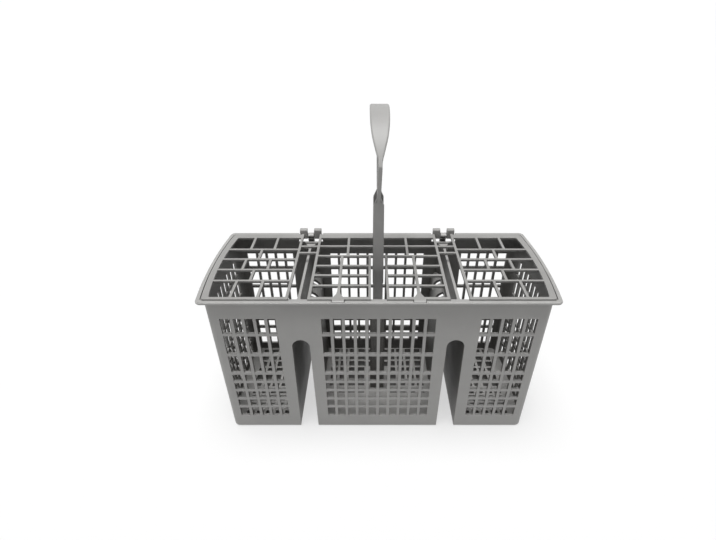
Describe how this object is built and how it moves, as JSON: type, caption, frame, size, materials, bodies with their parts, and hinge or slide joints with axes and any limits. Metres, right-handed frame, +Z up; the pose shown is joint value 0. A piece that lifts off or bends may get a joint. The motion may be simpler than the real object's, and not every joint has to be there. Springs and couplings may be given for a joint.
{
  "type": "dishwasher cutlery basket",
  "caption": "Long lattice-walled cutlery basket standing on legs parted by arched rack slots, with a hinged grid lid that sorts the cutlery and an upright loop handle in the middle.",
  "frame": {"origin": "on the standing plane, under the middle of the basket", "axes": "+X along the basket, +Y from the front wall to the hinged back, +Z up"},
  "size_m": [0.2576, 0.1021, 0.2514],
  "materials": {
    "grey_plastic": "satin moulded polypropylene, mid grey",
    "grey_plastic_lid": "satin moulded polypropylene, mid grey",
    "grey_plastic_handle": "satin moulded polypropylene, mid grey"
  },
  "bodies": {
    "basket": {"basket_body": "grey_plastic", "handle": "grey_plastic_handle"},
    "lid": {"lid": "grey_plastic_lid"}
  },
  "joints": [
    {"name": "lid_hinge", "type": "hinge", "parent": "basket", "child": "lid", "pos_m": [0, 0.04865, 0.1319], "axis": [-1, 0, 0], "range_deg": [0, 110]}
  ]
}
